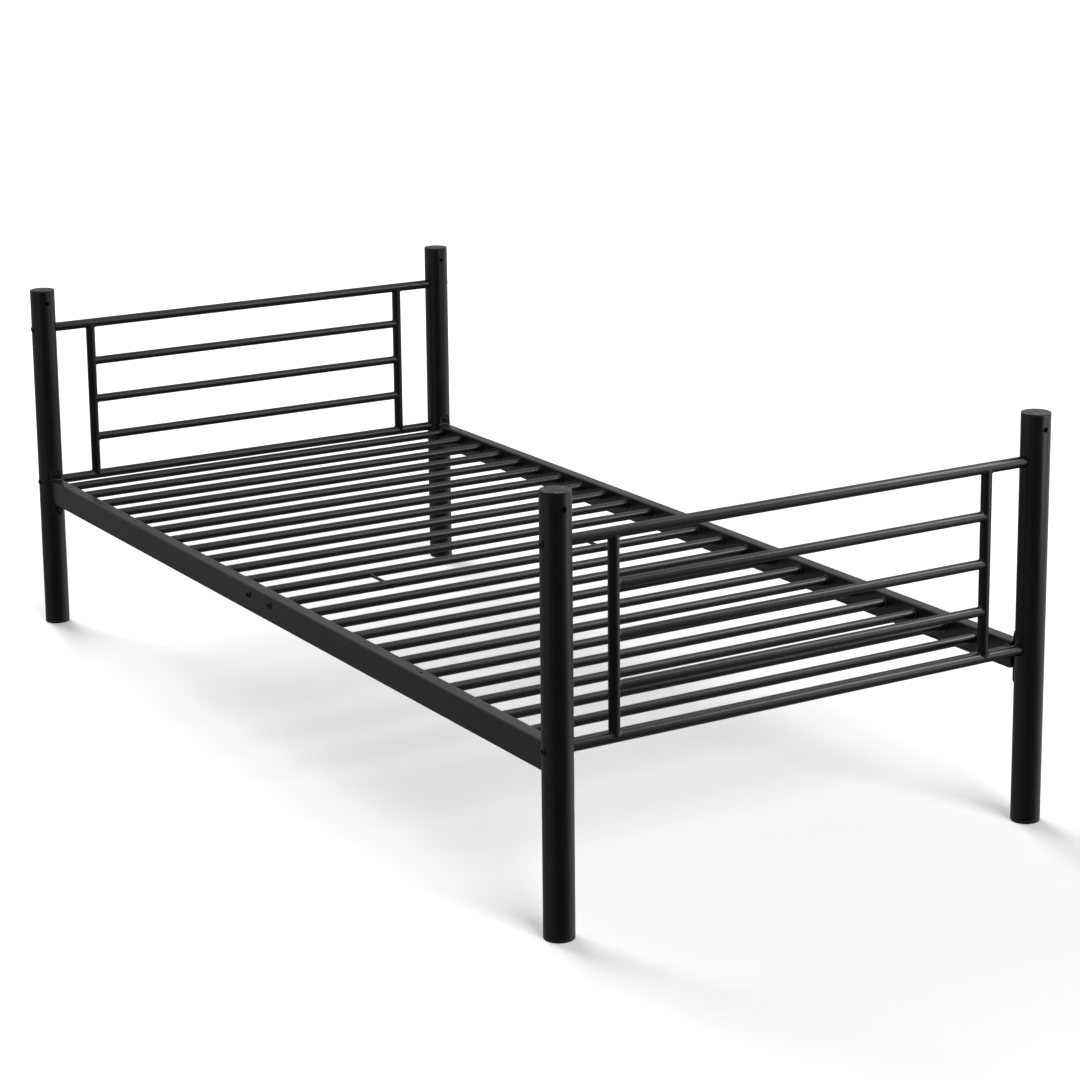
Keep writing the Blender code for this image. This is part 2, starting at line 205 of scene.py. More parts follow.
def powder_coat():
    """Satin black powder coat: orange peel, uneven gloss, a little dust on what faces up."""
    deep, pale, dust = (0.0046, 0.0045, 0.0045), (0.0090, 0.0089, 0.0089), (0.055, 0.053, 0.050)
    material, tree, shader = new_material("black_powder_coat", deep)
    mottle = add_noise(tree, 38.0, 5.0, 0.65)
    tone = add_mix(tree, add_range(tree, mottle, 0.35, 0.68, 0.0, 1.0), deep, pale)
    dusting = add_upward_specks(tree, 0.40)
    tree.links.new(add_mix(tree, dusting, tone, dust), shader.inputs["Base Color"])
    patches = add_range(tree, add_noise(tree, 9.0, 4.0, 0.6), 0.30, 0.70, 0.27, 0.36)
    tree.links.new(add_math(tree, "ADD", patches, add_math(tree, "MULTIPLY", dusting, 0.3)),
                   shader.inputs["Roughness"])
    shader.inputs["Specular IOR Level"].default_value = 0.5
    peel = add_bump(tree, shader, add_noise(tree, 520.0, 2.0, 0.5), 0.30, 0.00016)
    add_bump(tree, shader, add_noise(tree, 2400.0, 2.0, 0.5), 0.20, 0.00005, below=peel)
    return material


def black_plastic():
    """Moulded caps and feet: matte, with a fine spark-eroded grain, and pale on top from speckled
    dust and painted top light.
    """
    material, tree, shader = new_material("black_plastic", (0.012, 0.012, 0.013))
    mottle = add_range(tree, add_noise(tree, 60.0, 4.0), 0.35, 0.65, 0.0, 1.0)
    tone = add_mix(tree, mottle, (0.0095, 0.0095, 0.010), (0.016, 0.016, 0.017))
    # pale specks on what faces up: partly dust, partly painted light that brightens the cap tops
    tree.links.new(add_mix(tree, add_upward_specks(tree, 1.0), tone, (0.27, 0.262, 0.250)),
                   shader.inputs["Base Color"])
    tree.links.new(add_range(tree, add_noise(tree, 24.0, 4.0), 0.3, 0.7, 0.46, 0.60),
                   shader.inputs["Roughness"])
    add_bump(tree, shader, add_noise(tree, 1500.0, 3.0, 0.6), 0.35, 0.00008)
    return material


def black_zinc():
    """Blackened bolts: dark metal, slightly worn on the crowns."""
    material, tree, shader = new_material("black_zinc", (0.05, 0.05, 0.052))
    shader.inputs["Metallic"].default_value = 1.0
    wear = add_range(tree, add_noise(tree, 420.0, 5.0, 0.7), 0.45, 0.70, 0.0, 1.0)
    tree.links.new(add_mix(tree, wear, (0.030, 0.030, 0.032), (0.085, 0.083, 0.080)),
                   shader.inputs["Base Color"])
    tree.links.new(add_range(tree, wear, 0.0, 1.0, 0.34, 0.50), shader.inputs["Roughness"])
    add_bump(tree, shader, add_noise(tree, 1800.0, 2.0), 0.15, 0.00005)
    return material


def zinc_plate():
    """The sleeves inside the rails: bright zinc with cloudy patches and draw lines."""
    material, tree, shader = new_material("zinc_plated_steel", (0.55, 0.56, 0.58))
    shader.inputs["Metallic"].default_value = 1.0
    clouds = add_range(tree, add_noise(tree, 45.0, 5.0, 0.6), 0.3, 0.7, 0.0, 1.0)
    tree.links.new(add_mix(tree, clouds, (0.46, 0.47, 0.49), (0.62, 0.63, 0.64)),
                   shader.inputs["Base Color"])
    tree.links.new(add_range(tree, clouds, 0.0, 1.0, 0.28, 0.42), shader.inputs["Roughness"])
    add_bump(tree, shader, add_noise(tree, 300.0, 3.0, 0.5, (0.04, 1.0, 1.0)), 0.2, 0.00006)
    return material


def studio_floor():
    """Pale, smooth and matte, with only the faintest unevenness."""
    material, tree, shader = new_material("studio_floor", (0.42, 0.42, 0.42))
    cloud = add_range(tree, add_noise(tree, 0.6, 3.0), 0.3, 0.7, 0.0, 1.0)
    tree.links.new(add_mix(tree, cloud, (0.415, 0.415, 0.415), (0.425, 0.425, 0.425)),
                   shader.inputs["Base Color"])
    tree.links.new(add_range(tree, cloud, 0.0, 1.0, 0.82, 0.90), shader.inputs["Roughness"])
    return material


COAT = powder_coat()
PLASTIC = black_plastic()
BOLT_BLACK = black_zinc()
ZINC = zinc_plate()


# ---------------------------------------------------------------- mesh makers
def lathe(profile, sides):
    """Outline of (radius, height) points turned round Z; closed unless it ends on the axis."""
    bm = bmesh.new()
    verts = [bm.verts.new((radius, 0.0, height)) for radius, height in profile]
    edges = [bm.edges.new(pair) for pair in zip(verts, verts[1:])]
    if profile[0][0] > 0 or profile[-1][0] > 0:
        edges.append(bm.edges.new((verts[-1], verts[0])))
    bmesh.ops.spin(bm, geom=verts + edges, cent=(0, 0, 0), axis=(0, 0, 1),
                   angle=2 * math.pi, steps=sides, use_merge=True, use_duplicate=False)
    bmesh.ops.remove_doubles(bm, verts=bm.verts, dist=SAME_POINT)
    bmesh.ops.recalc_face_normals(bm, faces=bm.faces)
    return bm


def arc(centre, radius, start, stop, steps):
    """Points along an arc, angles in degrees, in a lathe profile or a flat outline."""
    points = []
    for step in range(steps + 1):
        angle = math.radians(start + (stop - start) * step / steps)
        points.append((centre[0] + radius * math.cos(angle),
                       centre[1] + radius * math.sin(angle)))
    return points


def tube_profile(low, high, outer_d, wall, rings=(), soften=0.0003):
    """Outline of a tube wall with softened end edges; rings are extra heights on both faces."""
    outer = outer_d / 2
    inner = outer - wall
    heights = sorted(rings)
    return ([(inner, low + soften), (inner + soften, low), (outer - soften, low),
             (outer, low + soften)] + [(outer, height) for height in heights]
            + [(outer, high - soften), (outer - soften, high), (inner + soften, high),
               (inner, high - soften)] + [(inner, height) for height in reversed(heights)])


def extrude_outline(points, distance):
    """Flat outline raised along its own local Z from the origin."""
    bm = bmesh.new()
    face = bm.faces.new([bm.verts.new((x, y, 0.0)) for x, y in points])
    grown = bmesh.ops.extrude_face_region(bm, geom=[face])["geom"]
    moved = [item for item in grown if isinstance(item, bmesh.types.BMVert)]
    bmesh.ops.translate(bm, verts=moved, vec=(0, 0, distance))
    bmesh.ops.recalc_face_normals(bm, faces=bm.faces)
    return bm


def rounded_rectangle(width, height, radius, steps=8):
    """Corner-rounded outline, anticlockwise, centred on the origin."""
    points = []
    for side_x, side_y, start in ((1, 1, 0), (-1, 1, 90), (-1, -1, 180), (1, -1, 270)):
        centre = (side_x * (width / 2 - radius), side_y * (height / 2 - radius))
        points += arc(centre, radius, start, start + 90, steps)
    return points


def box_section(length, width, height):
    """Hollow rail section along local Z, its width along local X and its height along local Y."""
    bm = bmesh.new()
    loops = []
    for inset in (0.0, RAIL_WALL):
        outline = rounded_rectangle(width - 2 * inset, height - 2 * inset, RAIL_CORNER - inset)
        verts = [bm.verts.new((x, y, 0.0)) for x, y in outline]
        loops += [bm.edges.new(pair) for pair in zip(verts, verts[1:] + verts[:1])]
    ring = bmesh.ops.bridge_loops(bm, edges=loops)["faces"]
    grown = bmesh.ops.extrude_face_region(bm, geom=ring)["geom"]
    moved = [item for item in grown if isinstance(item, bmesh.types.BMVert)]
    bmesh.ops.translate(bm, verts=moved, vec=(0, 0, length))
    bmesh.ops.recalc_face_normals(bm, faces=bm.faces)
    return bm


def weld_ripple(along, amount=0.16, pitch=0.0016):
    """Size factor of a weld bead at a distance along it."""
    wave = math.sin(2 * math.pi * along / pitch)
    drift = noise.noise(Vector((along * 160, 3.7, 1.9)))
    return 1.0 + amount * (0.5 * wave + 1.2 * drift)


def bead_strip(bm, sections, closed):
    """Joins equal rows of points into a strip of quads."""
    rows = [[bm.verts.new(point) for point in section] for section in sections]
    pairs = list(zip(rows, rows[1:]))
    if closed:
        pairs.append((rows[-1], rows[0]))
    for first, second in pairs:
        for step in range(len(first) - 1):
            bm.faces.new((first[step], second[step], second[step + 1], first[step + 1]))


def bead_section(on_first, corner, on_second, steps=4):
    """Slightly hollow curve between two surfaces that meet at a corner."""
    hollow = corner.lerp((on_first + on_second) / 2, 0.35)
    points = []
    for step in range(steps + 1):
        t = step / steps
        points.append(on_first * (1 - t) ** 2 + hollow * (2 * t * (1 - t)) + on_second * t ** 2)
    return points


def saddle_height(across, main_r):
    """Height of a tube's surface above its axis, at a distance across it."""
    return math.sqrt(max(main_r ** 2 - across ** 2, 0.0))


def saddle_bead(branch_r, main_r, leg=WELD_LEG, steps=120):
    """Weld round a tube along +Z that meets a tube along Y at the origin."""
    bm = bmesh.new()
    sections = []
    for step in range(steps):
        turn = 2 * math.pi * (step + 0.5) / steps
        across, along = branch_r * math.cos(turn), branch_r * math.sin(turn)
        height = saddle_height(across, main_r)
        grown = leg * weld_ripple(branch_r * turn)
        corner = Vector((across, along, height))
        wrap_rate = branch_r * math.sin(turn) / max(math.sqrt(1 - (across / main_r) ** 2), 1e-4)
        outward = Vector((branch_r * math.cos(turn), wrap_rate)).normalized() * grown
        wrap = math.asin(max(-1.0, min(1.0, across / main_r))) + outward.x / main_r
        on_main = Vector((main_r * math.sin(wrap), along + outward.y, main_r * math.cos(wrap)))
        sections.append(bead_section(corner + Vector((0, 0, grown)), corner, on_main))
    bead_strip(bm, sections, closed=True)
    return bm


def flat_bead(outline, leg, closed=True):
    """Weld round an outline that stands on the plane z = 0; the outline is (x, y) points."""
    bm = bmesh.new()
    count = len(outline)
    sections = []
    travelled = 0.0
    for index, point in enumerate(outline):
        before = Vector(outline[(index - 1) % count] if closed or index else outline[0])
        after = Vector(outline[(index + 1) % count] if closed or index < count - 1
                       else outline[-1])
        heading = (after - before).normalized()
        travelled += (Vector(point) - before).length
        grown = leg * weld_ripple(travelled)
        corner = Vector((*point, 0.0))
        outward = Vector((heading.y, -heading.x, 0.0)) * grown
        sections.append(bead_section(corner + Vector((0, 0, grown)), corner, corner + outward))
    bead_strip(bm, sections, closed)
    return bm


def dense_outline(points, spacing):
    """The same closed outline with points no further apart than the spacing."""
    dense = []
    for first, second in zip(points, points[1:] + points[:1]):
        a, b = Vector(first), Vector(second)
        parts = max(1, math.ceil((b - a).length / spacing))
        dense += [tuple(a.lerp(b, part / parts)) for part in range(parts)]
    return dense


def merge(target, source, place):
    """Adds one bmesh to another at a place, and frees it."""
    bmesh.ops.transform(source, matrix=place, verts=source.verts)
    mesh = bpy.data.meshes.new("part")
    source.to_mesh(mesh)
    source.free()
    target.from_mesh(mesh)
    bpy.data.meshes.remove(mesh)


# ---------------------------------------------------------------- objects
LIE_ALONG_X = Matrix.Rotation(math.radians(90), 4, "Y")
LIE_ALONG_Y = Matrix.Rotation(math.radians(-90), 4, "X")


def at(place, turn=None):
    moved = Matrix.Translation(place)
    return moved if turn is None else moved @ turn


def make_object(name, bm, material=None):
    mesh = bpy.data.meshes.new(name)
    bm.to_mesh(mesh)
    bm.free()
    if material is not None:
        mesh.materials.append(material)
    mesh.shade_smooth()
    mesh.set_sharp_from_angle(angle=SHARP_ANGLE)
    obj = bpy.data.objects.new(name, mesh)
    bpy.context.scene.collection.objects.link(obj)
    return obj


def finish_piece(obj, nodes=()):
    """Finishes an object: sets what it rides on and hides the CAD nodes it stands for."""
    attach(obj, "root")
    if nodes:
        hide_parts(*nodes)
    return obj


def add_piece(name, bm, material, nodes=()):
    return finish_piece(make_object(name, bm, material), nodes)


def rod_cutter(diameter, length, place, turn=None, sides=40):
    bm = bmesh.new()
    bmesh.ops.create_cone(bm, cap_ends=True, segments=sides, radius1=diameter / 2,
                          radius2=diameter / 2, depth=length)
    bmesh.ops.transform(bm, matrix=at(place, turn), verts=bm.verts)
    return make_object("cutter", bm)


def cut(obj, cutters):
    """Cuts the other objects out of this one for good, and removes them."""
    for cutter in cutters:
        modifier = obj.modifiers.new("cut", "BOOLEAN")
        modifier.operation = "DIFFERENCE"
        modifier.solver = "EXACT"
        modifier.object = cutter
    bpy.context.view_layer.update()
    depsgraph = bpy.context.evaluated_depsgraph_get()
    result = bpy.data.meshes.new_from_object(obj.evaluated_get(depsgraph))
    obj.modifiers.clear()
    obj.data = result
    for cutter in cutters:
        bpy.data.objects.remove(cutter, do_unlink=True)
    bm = bmesh.new()
    bm.from_mesh(result)
    bmesh.ops.remove_doubles(bm, verts=bm.verts, dist=SAME_POINT)
    bmesh.ops.dissolve_degenerate(bm, edges=bm.edges, dist=SAME_POINT)
    bm.to_mesh(result)
    bm.free()


def round_normals(obj, axis_point, axis):
    """True round normals on the tube faces of a cut tube, so its holes don't dent the gloss."""
    mesh = obj.data
    mesh.set_sharp_from_angle(angle=SHARP_ANGLE)
    normals = [Vector(corner.vector) for corner in mesh.corner_normals]
    for face in mesh.polygons:
        offset = face.center - axis_point
        radial = (offset - axis * offset.dot(axis)).normalized()
        facing = radial.dot(face.normal)
        if abs(facing) < 0.99:
            continue
        for loop in face.loop_indices:
            out = mesh.vertices[mesh.loops[loop].vertex_index].co - axis_point
            out = (out - axis * out.dot(axis)).normalized()
            normals[loop] = out * sign(facing)
    mesh.normals_split_custom_set(normals)


# ---------------------------------------------------------------- posts, caps and feet
def plate_bolt_heights():
    """Heights of the two bolts of an end plate, one plate radius in from its ends."""
    low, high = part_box("side_rail_foot_left")
    return low.z + PLATE_W / 2, high.z - PLATE_W / 2


def add_post(end, side):
    """Tube with socket holes for two bars and a cross hole near the top."""
    node = f"post_{end}_{side}"
    low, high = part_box(node)
    centre = middle(node)
    diameter = high.x - low.x
    bar_heights = [middle(f"{end}_{label}_bar").z for label in ("bottom", "top")]
    bar_d = size(f"{end}_top_bar").z
    pin_z = cad_high.z - TOP_PIN_HOLE_DROP
    rings = [z + step for z in (*bar_heights, pin_z) for step in (-HOLE_MARGIN, HOLE_MARGIN)]
    foot = Vector((centre.x, centre.y, 0))
    bm = lathe(tube_profile(low.z, high.z, diameter, POST_WALL, rings), POST_SIDES)
    bmesh.ops.transform(bm, matrix=at(foot), verts=bm.verts)
    post = make_object(node + "_tube", bm, COAT)
    to_panel = Vector((0, -sign(centre.y) * diameter / 2, 0))
    cutters = [rod_cutter(TOP_PIN_HOLE_D, 2 * diameter, foot + Vector((0, 0, pin_z)), LIE_ALONG_X)]
    for z in bar_heights:
        cutters.append(rod_cutter(bar_d + 2 * SOCKET_PLAY, diameter / 2,
                                  foot + to_panel + Vector((0, 0, z)), LIE_ALONG_Y, sides=64))
    cut(post, cutters)
    round_normals(post, foot, Vector((0, 0, 1)))
    finish_piece(post, [node])


def add_post_cap(end, side):
    """Very slightly domed cover with a rounded rim, and its plug inside the tube."""
    node = f"post_cap_{end}_{side}"
    low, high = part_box(node)
    rim = (high.x - low.x) / 2
    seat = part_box(f"post_{end}_{side}")[1].z + GAP
    plug = rim - POST_WALL - GAP
    profile = ([(0.0, high.z), (0.6 * rim, high.z - 0.00005)]
               + arc((rim - CAP_EDGE, high.z - 0.0001 - CAP_EDGE), CAP_EDGE, 90, 0, 6)
               + [(rim, seat + 0.0003), (rim - 0.0003, seat), (plug, seat), (plug, low.z + 0.001),
                  (plug - 0.001, low.z), (0.0, low.z)])
    bm = lathe(profile, POST_SIDES)
    centre = middle(node)
    bmesh.ops.transform(bm, matrix=at((centre.x, centre.y, 0)), verts=bm.verts)
    add_piece(f"cap_{end}_{side}", bm, PLASTIC, [node])


def add_foot_glide(end, side):
    """Plastic foot with a rounded lower edge, and its plug inside the tube."""
    node = f"foot_glide_{end}_{side}"
    low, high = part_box(node)
    rim = (high.x - low.x) / 2
    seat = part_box(f"post_{end}_{side}")[0].z - GAP
    plug = rim - POST_WALL - GAP
    profile = ([(0.0, low.z)]
               + arc((rim - FOOT_EDGE, low.z + FOOT_EDGE), FOOT_EDGE, -90, 0, 6)
               + [(rim, seat - 0.0005), (rim - 0.0005, seat), (plug, seat),
                  (plug, high.z - 0.001), (plug - 0.001, high.z), (0.0, high.z)])
    bm = lathe(profile, POST_SIDES)
    centre = middle(node)
    bmesh.ops.transform(bm, matrix=at((centre.x, centre.y, 0)), verts=bm.verts)
    add_piece(f"foot_{end}_{side}", bm, PLASTIC, [node])


# ---------------------------------------------------------------- end panels
def add_long_bar(node):
    """Top or bottom bar of an end panel, from post to post."""
    low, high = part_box(node)
    centre = middle(node)
    bm = lathe(tube_profile(low.y, high.y, high.z - low.z, BAR_WALL), BAR_SIDES)
    bmesh.ops.transform(bm, matrix=at((centre.x, 0, centre.z), LIE_ALONG_Y), verts=bm.verts)
    add_piece(node + "_tube", bm, COAT, [node])


def coped_tube(length, diameter, wall, main_r):
    """Tube along Z between two tubes along Y, its ends shaped to fit them, with weld beads."""
    bm = lathe([(diameter / 2 - wall, -1.0), (diameter / 2, -1.0), (diameter / 2, 1.0),
                (diameter / 2 - wall, 1.0)], BAR_SIDES)
    for vert in bm.verts:
        reach = length / 2 - saddle_height(vert.co.x, main_r)
        vert.co.z = sign(vert.co.z) * reach
    for turn in (Matrix.Identity(4), Matrix.Rotation(math.pi, 4, "X")):
        foot = turn @ Matrix.Translation((0, 0, -length / 2))
        merge(bm, saddle_bead(diameter / 2, main_r), foot)
    bmesh.ops.recalc_face_normals(bm, faces=bm.faces)
    return bm


def add_end_panel(end):
    for label in ("top", "bottom"):
        add_long_bar(f"{end}_{label}_bar")
    x = middle(f"{end}_top_bar").x
    top_z, bottom_z = middle(f"{end}_top_bar").z, middle(f"{end}_bottom_bar").z
    bar_r = size(f"{end}_top_bar").z / 2
    for side in SIDES:
        node = f"{end}_upright_{side}"
        bm = coped_tube(top_z - bottom_z, size(node).x, BAR_WALL, bar_r)
        place = at((x, middle(node).y, (top_z + bottom_z) / 2))
        bmesh.ops.transform(bm, matrix=place, verts=bm.verts)
        add_piece(node + "_tube", bm, COAT, [node])
    spread = middle(f"{end}_upright_right").y - middle(f"{end}_upright_left").y
    for number in (1, 2, 3):
        node = f"{end}_mid_bar_{number}"
        bm = coped_tube(spread, size(node).z, BAR_WALL, bar_r)
        quarter = Matrix.Rotation(math.radians(90), 4, "X")
        bmesh.ops.transform(bm, matrix=at((x, 0, middle(node).z), quarter), verts=bm.verts)
        add_piece(node + "_tube", bm, COAT, [node])


# ---------------------------------------------------------------- side rails
def rail_section(side):
    """Centre (y, z), width and height of a rail, from the sleeve that fits inside it."""
    sleeve = f"rail_sleeve_{side}"
    centre, inside = middle(sleeve), size(sleeve)
    around = 2 * (RAIL_WALL + GAP)
    return centre, inside.y + around, inside.z + around


def end_plate(height):
    """Obround plate with softened edges, on the plane z = 0, its length along local Y."""
    radius = PLATE_W / 2
    bm = bmesh.new()
    rows = []
    for inset, z in ((PLATE_EDGE, 0.0), (0.0, PLATE_EDGE), (0.0, PLATE_T - PLATE_EDGE),
                     (PLATE_EDGE, PLATE_T)):
        outline = (arc((0, height / 2 - radius), radius - inset, 0, 180, 24)
                   + arc((0, radius - height / 2), radius - inset, 180, 360, 24))
        rows.append([bm.verts.new((x, y, z)) for x, y in outline])
    for lower, upper in zip(rows, rows[1:]):
        for index in range(len(lower)):
            after = (index + 1) % len(lower)
            bm.faces.new((lower[index], lower[after], upper[after], upper[index]))
    bm.faces.new(rows[0])
    bm.faces.new(rows[-1])
    bmesh.ops.recalc_face_normals(bm, faces=bm.faces)
    return bm


def rail_frame(outward, x, y, z):
    """Place whose local Z runs along the rail towards the post, with local Y up."""
    axes = Matrix(((0, 0, outward, 0), (outward, 0, 0, 0), (0, 1, 0, 0), (0, 0, 0, 1)))
    return at((x, y, z), axes)


def add_half_rail(end, side):
    """Box section with its end plate, the weld between them and the small top holes."""
    node = f"side_rail_{end}_{side}"
    low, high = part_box(node)
    centre, width, height = rail_section(side)
    outward = sign(middle(node).x)
    start = low.x if outward > 0 else high.x
    plate_face = (high.x if outward > 0 else low.x) - outward * PLATE_T
    length = abs(plate_face - start)
    bm = box_section(length, width, height)
    bmesh.ops.transform(bm, matrix=rail_frame(outward, start, centre.y, centre.z), verts=bm.verts)
    rail = make_object(node + "_section", bm, COAT)
    cutters = [rod_cutter(RAIL_HOLE_D, 4 * RAIL_WALL,
                          (outward * x, centre.y, centre.z + height / 2))
               for x in RAIL_HOLE_X[end]]
    waste = extrude_outline([(OVERCUT, RAIL_END_RADIUS), (OVERCUT, -OVERCUT),
                             (-RAIL_END_RADIUS, -OVERCUT)]
                            + arc((-RAIL_END_RADIUS, RAIL_END_RADIUS), RAIL_END_RADIUS,
                                  -90, 0, 12), 2 * width)
    corner = Matrix(((outward, 0, 0, 0), (0, 0, 1, 0), (0, 1, 0, 0), (0, 0, 0, 1)))
    bmesh.ops.transform(waste, matrix=at((plate_face, centre.y - width, centre.z - height / 2),
                                         corner), verts=waste.verts)
    bmesh.ops.recalc_face_normals(waste, faces=waste.faces)
    cut(rail, cutters + [make_object("cutter", waste)])

    bm = bmesh.new()
    bm.from_mesh(rail.data)
    plate = middle(node)
    post_y = middle(f"post_{end}_{side}").y
    merge(bm, end_plate(high.z - low.z), rail_frame(outward, plate_face, post_y, plate.z))
    outline = dense_outline(rounded_rectangle(width, height, RAIL_CORNER), WELD_STEP)
    above = [point for point in outline if point[1] > RAIL_END_RADIUS - height / 2]
    facing_rail = Matrix.Rotation(math.pi, 4, "Y")
    merge(bm, flat_bead(above, PLATE_WELD_LEG, closed=False),
          rail_frame(outward, plate_face, centre.y, centre.z) @ facing_rail)
    bm.to_mesh(rail.data)
    bm.free()
    rail.data.shade_smooth()
    rail.data.set_sharp_from_angle(angle=SHARP_ANGLE)
    finish_piece(rail, [node])


# ---------------------------------------------------------------- slats and their ties
def add_slat(number):
    """Cross tube; a rounded collar or a plain weld bead at each end."""
    node = f"slat_{number:02d}"
    low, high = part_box(node)
    centre = middle(node)
    body_d = size("slat_12").z
    collar_r = (high.z - low.z) / 2
    half = high.y
    bm = lathe(tube_profile(-half, half, body_d, SLAT_WALL), SLAT_SIDES)
    for end_sign in (-1, 1):
        flip = Matrix.Identity(4) if end_sign < 0 else Matrix.Rotation(math.pi, 4, "X")
        foot = flip @ Matrix.Translation((0, 0, -half))
        if collar_r > body_d / 2 + GAP:
            ring = ([(body_d / 2, 0.0), (collar_r - 0.0003, 0.0)]
                    + arc((collar_r - COLLAR_EDGE, COLLAR_T - COLLAR_EDGE), COLLAR_EDGE, 0, 90, 6)
                    + [(body_d / 2 + 0.0004, COLLAR_T), (body_d / 2, COLLAR_T + 0.0003)])
            merge(bm, lathe(ring, SLAT_SIDES), foot)
        else:
            circle = arc((0, 0), body_d / 2, 0, 360, 90)[:-1]
            merge(bm, flat_bead(circle, SLAT_WELD_LEG), foot)
    bmesh.ops.transform(bm, matrix=at((centre.x, 0, centre.z), LIE_ALONG_Y), verts=bm.verts)
    add_piece(node + "_tube", bm, COAT, [node])


def add_slat_tie(side):
    """Thin bolt through the two middle slats, with a low head and a nut."""
    node = f"slat_tie_{side}"
    low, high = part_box(node)
    centre = middle(node)
    head_r = (high.z - low.z) / 2
    clamped = (middle("slat_13").x - middle("slat_12").x + size("slat_12").z) / 2 + GAP
    reach = (high.x - low.x) / 2
    half_profile = ([(SHANK_R, clamped), (head_r, clamped)]
                    + arc((head_r - TIE_HEAD_EDGE, reach - TIE_HEAD_EDGE), TIE_HEAD_EDGE, 0, 90, 4)
                    + [(0.0, reach)])
    mirrored = [(radius, -height) for radius, height in reversed(half_profile)]
    bm = lathe(mirrored + half_profile, 24)
    bmesh.ops.transform(bm, matrix=at(centre, LIE_ALONG_X), verts=bm.verts)
    add_piece(node + "_bolt", bm, COAT, [node])


# ---------------------------------------------------------------- bolts
def button_head(diameter, height, shank_length):
    """Dome head with a hexagonal socket, its seat on the plane z = 0 and its shank below."""
    rim = diameter / 2
    socket_r = 0.27 * diameter
    socket_floor, crown = 0.25 * height, 0.97 * height
    dome = [(rim * math.cos(a), height * (0.22 + 0.78 * math.sin(a)))
            for a in (math.radians(step * 10) for step in range(0, 6))]
    bm = lathe([(socket_r, socket_floor), (socket_r, crown), (socket_r + 0.0004, crown)]
               + list(reversed(dome)) + [(rim, 0.0), (SHANK_R, 0.0), (SHANK_R, -shank_length),
                                         (0.0, -shank_length), (0.0, socket_floor)],
               BOLT_SIDES)
    for vert in bm.verts:       # the round socket's points move in to six flats
        radius = Vector(vert.co.xy).length
        if vert.co.z > 0 and 0.5 * socket_r < radius < 1.02 * socket_r:
            turn = math.atan2(vert.co.y, vert.co.x) % (math.pi / 3) - math.pi / 6
            vert.co.xy *= 0.88 / math.cos(turn)
    return bm


def add_bolt(name, seat, direction, diameter, height, shank_length, nodes=()):
    """Bolt whose head points along the direction, its seat at the given place."""
    turn = Vector((0, 0, 1)).rotation_difference(direction).to_matrix().to_4x4()
    bm = button_head(diameter, height, shank_length)
    bmesh.ops.transform(bm, matrix=at(seat, turn), verts=bm.verts)
    add_piece(name, bm, BOLT_BLACK, nodes)


def add_bolts():
    """Bolts of the panels, of the end plates, and through the rail joints into the slats."""
    proud = cad_high.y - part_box("post_foot_right")[1].y - GAP
    for end in ENDS:
        for side in SIDES:
            post = middle(f"post_{end}_{side}")
            post_r = size(f"post_{end}_{side}").x / 2
            outward = Vector((0, sign(post.y), 0))
            for label in ("top", "bottom"):
                z = middle(f"{end}_{label}_bar").z
                node = f"panel_bolt_{end}_{side}"
                known = label == "bottom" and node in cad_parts
                seat = Vector((post.x, post.y, z)) + outward * (post_r + GAP)
                add_bolt(f"bolt_{end}_{label}_{side}", seat, outward, BOLT_HEAD_D, proud,
                         2 * post_r, [node] if known else ())
            to_middle = Vector((-sign(post.x), 0, 0))
            plate_x = middle(f"post_{end}_{side}").x + to_middle.x * (post_r + GAP + PLATE_T)
            for label, z in zip(("lower", "upper"), plate_bolt_heights()):
                add_bolt(f"plate_bolt_{end}_{label}_{side}", Vector((plate_x, post.y, z)),
                         to_middle, BOLT_HEAD_D, PLATE_BOLT_HEAD_T, post_r)
            centre, width, _ = rail_section(side)
            slat = middle("slat_12" if end == "head" else "slat_13")
            seat = Vector((slat.x, centre.y, slat.z)) + outward * (width / 2)
            add_bolt(f"joint_bolt_{end}_{side}", seat, outward, JOINT_BOLT_HEAD_D,
                     JOINT_BOLT_HEAD_T, width + JOINT_BOLT_REACH)


# ---------------------------------------------------------------- studio
def add_floor():
    """Wide pale floor.  It takes shadows, but throws no light back on to the bed."""
    bm = bmesh.new()
    bmesh.ops.create_grid(bm, x_segments=4, y_segments=4, size=60.0)
    bmesh.ops.translate(bm, verts=bm.verts, vec=(0, 0, cad_low.z))
    floor = make_object("floor", bm, studio_floor())
    floor.visible_glossy = False
    floor.visible_diffuse = False
    return floor


def add_towards(tree, direction, heading, from_low, from_high, to_low, to_high):
    """Value that changes with how far a direction points towards a heading."""
    node = tree.nodes.new("ShaderNodeVectorMath")
    node.operation = "DOT_PRODUCT"
    tree.links.new(direction, node.inputs[0])
    node.inputs[1].default_value = heading
    return add_range(tree, node.outputs["Value"], from_low, from_high, to_low, to_high)


